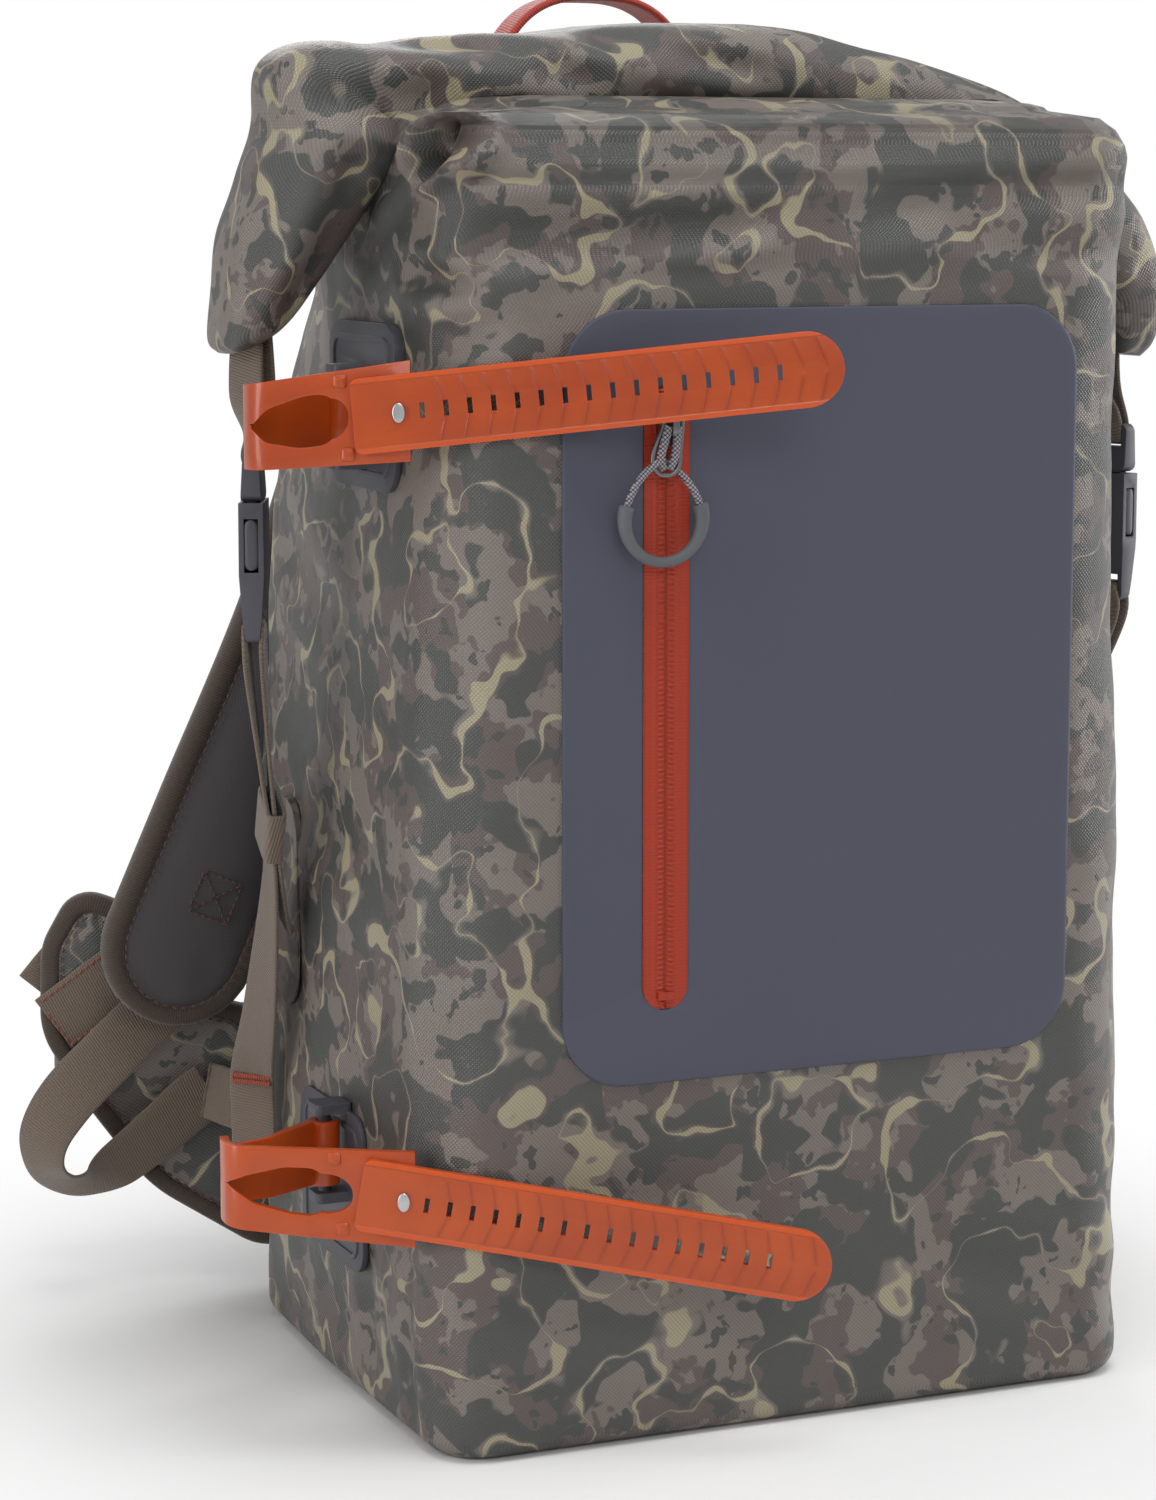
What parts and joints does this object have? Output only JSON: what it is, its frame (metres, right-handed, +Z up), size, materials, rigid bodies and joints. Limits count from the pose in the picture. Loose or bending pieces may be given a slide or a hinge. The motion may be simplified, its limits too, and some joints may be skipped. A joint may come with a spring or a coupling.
{
  "type": "roll-top tackle backpack",
  "caption": "Roll-top waterproof backpack with zipped front pocket, lash plates with slotted gear straps, side-release closures, padded harness and hip belt.",
  "frame": {"origin": "centre of the base, on the ground", "axes": "+Z up, +Y towards the wearer's back (harness side), front pocket faces -Y"},
  "size_m": [0.4804, 0.3593, 0.5486],
  "materials": {
    "camo_fabric": "coated woven nylon, satin",
    "slate_fabric": "coated fabric, matt",
    "zip_orange": "coated zip tape, satin",
    "dark_metal": "dark lacquered zinc",
    "steel": "bright steel",
    "orange_rubber": "translucent moulded elastomer, gloss",
    "dark_plastic": "moulded plastic, satin",
    "grey_rubber": "moulded, matt",
    "grey_cord": "braided cord",
    "orange_webbing": "woven webbing",
    "stiff_plastic": "sheet",
    "brown_webbing": "woven webbing"
  },
  "bodies": {
    "bag": {"bag_body": "camo_fabric", "base_tray": "camo_fabric", "rolled_mouth": "camo_fabric", "mouth_stiffener": "stiff_plastic", "frame_sheet": "stiff_plastic", "pocket_panel": "slate_fabric", "zip_tape_left": "zip_orange", "zip_tape_right": "zip_orange", "zip_coil": "zip_orange", "zip_stops": "dark_metal", "lash_plate_upper_left": "dark_plastic", "lash_plate_upper_right": "dark_plastic", "lash_plate_lower_left": "dark_plastic", "lash_plate_lower_right": "dark_plastic", "side_patches": "camo_fabric", "webbing_tab_left": "brown_webbing", "webbing_tab_right": "brown_webbing", "clip_male_left": "dark_plastic", "clip_male_right": "dark_plastic", "side_webbing_left": "brown_webbing", "side_webbing_right": "brown_webbing", "web_keeper_left": "brown_webbing", "web_keeper_right": "brown_webbing", "side_anchor_left": "brown_webbing", "side_anchor_right": "brown_webbing", "yoke": "slate_fabric", "back_pad_left": "slate_fabric", "back_pad_right": "slate_fabric", "lumbar_pad": "slate_fabric", "lower_webbing_left": "brown_webbing", "lower_webbing_right": "brown_webbing", "lower_tab_left": "brown_webbing", "lower_tab_right": "brown_webbing"},
    "zip_slider": {"zip_slider": "dark_metal"},
    "zip_pull": {"zip_puller": "dark_metal", "pull_cord": "grey_cord", "pull_grip": "grey_rubber"},
    "gear_loop_upper": {"gear_loop_upper": "orange_rubber"},
    "gear_tail_upper": {"gear_tail_upper": "orange_rubber", "gear_hook_upper": "steel"},
    "gear_loop_lower": {"gear_loop_lower": "orange_rubber"},
    "gear_tail_lower": {"gear_tail_lower": "orange_rubber", "gear_hook_lower": "steel"},
    "clip_left": {"clip_female_left": "dark_plastic"},
    "clip_right": {"clip_female_right": "dark_plastic"},
    "handle": {"haul_handle": "orange_webbing"},
    "strap_left": {"strap_pad_left": "slate_fabric", "strap_binding_left": "brown_webbing", "ladder_lock_left": "dark_plastic"},
    "strap_right": {"strap_pad_right": "slate_fabric", "strap_binding_right": "brown_webbing", "ladder_lock_right": "dark_plastic"},
    "wing_left": {"belt_wing_left": "camo_fabric", "wing_binding_left": "brown_webbing", "belt_webbing_left": "brown_webbing", "belt_socket": "dark_plastic"},
    "wing_right": {"belt_wing_right": "camo_fabric", "wing_binding_right": "brown_webbing", "belt_webbing_right": "brown_webbing", "belt_plug": "dark_plastic"}
  },
  "joints": [
    {"name": "zip_slide", "type": "slide", "parent": "bag", "child": "zip_slider", "axis": [0, 0, -1], "range_m": [0, 0.2]},
    {"name": "zip_pull_hinge", "type": "hinge", "parent": "zip_slider", "child": "zip_pull", "pos_m": [-0.059, -0.1256, 0.38575], "axis": [-1, 0, 0], "range_deg": [0, 50]},
    {"name": "gear_loop_upper_swing", "type": "hinge", "parent": "bag", "child": "gear_loop_upper", "pos_m": [-0.1545, -0.037, 0.384], "axis": [0, 0, -1], "range_deg": [0, 15]},
    {"name": "gear_tail_upper_lift", "type": "hinge", "parent": "gear_loop_upper", "child": "gear_tail_upper", "pos_m": [-0.17426, -0.09456, 0.384], "axis": [0, 0, -1], "range_deg": [0, 100]},
    {"name": "gear_loop_lower_swing", "type": "hinge", "parent": "bag", "child": "gear_loop_lower", "pos_m": [-0.1615, -0.028, 0.101], "axis": [0, 0, -1], "range_deg": [0, 15]},
    {"name": "gear_tail_lower_lift", "type": "hinge", "parent": "gear_loop_lower", "child": "gear_tail_lower", "pos_m": [-0.17573, -0.09806, 0.101], "axis": [0, 0, -1], "range_deg": [0, 100]},
    {"name": "clip_left_release", "type": "slide", "parent": "bag", "child": "clip_left", "axis": [0, 0, -1], "range_m": [0, 0.03], "deforming": ["side_webbing_left"]},
    {"name": "clip_right_release", "type": "slide", "parent": "bag", "child": "clip_right", "axis": [0, 0, -1], "range_m": [0, 0.03], "deforming": ["side_webbing_right"]},
    {"name": "handle_hinge", "type": "hinge", "parent": "bag", "child": "handle", "pos_m": [0, 0.094, 0.477], "axis": [1, 0, 0], "range_deg": [-85, 40]},
    {"name": "strap_left_hinge", "type": "hinge", "parent": "bag", "child": "strap_left", "pos_m": [-0.066, 0.1208, 0.4585], "axis": [1, 0, 0], "range_deg": [0, 60], "deforming": ["lower_webbing_left"]},
    {"name": "strap_right_hinge", "type": "hinge", "parent": "bag", "child": "strap_right", "pos_m": [0.066, 0.1208, 0.4585], "axis": [1, 0, 0], "range_deg": [0, 60], "deforming": ["lower_webbing_right"]},
    {"name": "wing_left_hinge", "type": "hinge", "parent": "bag", "child": "wing_left", "pos_m": [-0.104, 0.1272, 0.07], "axis": [0, 0, -1], "range_deg": [0, 40]},
    {"name": "wing_right_hinge", "type": "hinge", "parent": "bag", "child": "wing_right", "pos_m": [0.104, 0.1272, 0.07], "axis": [0, 0, 1], "range_deg": [0, 40]}
  ]
}
